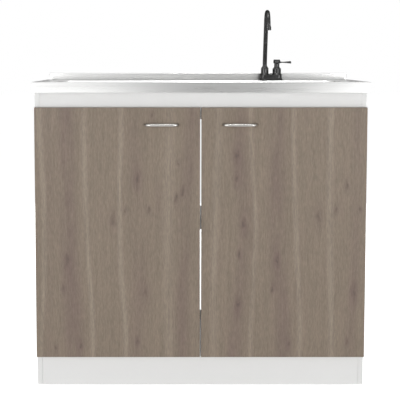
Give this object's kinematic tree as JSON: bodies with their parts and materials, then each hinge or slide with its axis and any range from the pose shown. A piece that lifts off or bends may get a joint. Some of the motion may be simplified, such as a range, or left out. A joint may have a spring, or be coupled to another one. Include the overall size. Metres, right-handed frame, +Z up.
{
  "type": "kitchen sink unit",
  "caption": "Floor-standing kitchen sink unit: two-door cabinet with oak-look doors, lay-on stainless sink top with bowl, drainer and splashback, and a black swivel tap.",
  "frame": {"origin": "on the floor, under the centre of the bounding box", "axes": "+X to the right seen from the front, +Y to the back (the wall), +Z up; the doors face -Y"},
  "size_m": [1, 0.51, 1.1481],
  "materials": {
    "white_board": "white melamine-faced particle board, fine satin",
    "oak_door": "grey-brown oak-look faced board, vertical grain, matt",
    "sink_steel": "brushed stainless sheet",
    "handle_nickel": "satin nickel plate",
    "hinge_zinc": "zinc and nickel plated steel",
    "black_metal": "satin black coated brass",
    "white_plastic": "moulded white plastic",
    "black_rubber": "matt black rubber"
  },
  "bodies": {
    "cabinet": {"side_panel_left": "white_board", "side_panel_right": "white_board", "bottom_panel": "white_board", "shelf": "white_board", "front_rail": "white_board", "plinth_board": "white_board", "rear_top_rail": "white_board", "rear_bottom_rail": "white_board", "floor_glide_left_front": "white_plastic", "floor_glide_left_rear": "white_plastic", "floor_glide_right_front": "white_plastic", "floor_glide_right_rear": "white_plastic", "shelf_pin_left_front": "hinge_zinc", "shelf_pin_left_rear": "hinge_zinc", "shelf_pin_right_front": "hinge_zinc", "shelf_pin_right_rear": "hinge_zinc", "hinge_arm_left_lower": "hinge_zinc", "hinge_arm_left_upper": "hinge_zinc", "hinge_arm_right_lower": "hinge_zinc", "hinge_arm_right_upper": "hinge_zinc", "hinge_plate_left_lower": "hinge_zinc", "hinge_plate_left_upper": "hinge_zinc", "hinge_plate_right_lower": "hinge_zinc", "hinge_plate_right_upper": "hinge_zinc", "sink_deck": "sink_steel", "sink_bowl": "sink_steel", "waste_body": "sink_steel", "waste_gasket": "black_rubber", "waste_locknut": "white_plastic", "tailpiece_nut": "white_plastic", "tailpiece": "white_plastic", "trap_inlet_nut": "white_plastic", "trap_body": "white_plastic", "trap_cup": "white_plastic", "trap_outlet_nut": "white_plastic", "trap_outlet_pipe": "white_plastic", "tap_base": "black_metal", "tap_gasket": "black_rubber", "tap_backnut": "hinge_zinc", "spout_collar": "black_metal", "valve_bonnet": "black_metal"},
    "door_left": {"door_left": "oak_door", "handle_left": "handle_nickel", "handle_screw_left_outer": "hinge_zinc", "handle_screw_left_inner": "hinge_zinc", "hinge_cup_left_lower": "hinge_zinc", "hinge_cup_left_upper": "hinge_zinc"},
    "door_right": {"door_right": "oak_door", "handle_right": "handle_nickel", "handle_screw_right_outer": "hinge_zinc", "handle_screw_right_inner": "hinge_zinc", "hinge_cup_right_lower": "hinge_zinc", "hinge_cup_right_upper": "hinge_zinc"},
    "spout": {"spout": "black_metal", "aerator": "black_metal"},
    "tap_handle": {"handle_hub": "black_metal", "handle_lever": "black_metal", "valve_spindle": "hinge_zinc"},
    "basket": {"strainer_basket": "sink_steel", "basket_stopper": "black_rubber"}
  },
  "joints": [
    {"name": "door_left_swing", "type": "hinge", "parent": "cabinet", "child": "door_left", "pos_m": [-0.488, -0.218, 0.46885], "axis": [0, 0, -1], "range_deg": [0, 95]},
    {"name": "door_right_swing", "type": "hinge", "parent": "cabinet", "child": "door_right", "pos_m": [0.488, -0.218, 0.46885], "axis": [0, 0, 1], "range_deg": [0, 95]},
    {"name": "spout_swivel", "type": "hinge", "parent": "cabinet", "child": "spout", "pos_m": [0.222, 0.21, 0.96], "axis": [0, 0, 1], "range_deg": [-90, 90]},
    {"name": "tap_handle_turn", "type": "hinge", "parent": "cabinet", "child": "tap_handle", "pos_m": [0.262, 0.21, 0.979], "axis": [0, 0, -1], "range_deg": [0, 90]},
    {"name": "basket_lift", "type": "slide", "parent": "cabinet", "child": "basket", "axis": [0, 0, 1], "range_m": [0, 0.19]}
  ]
}
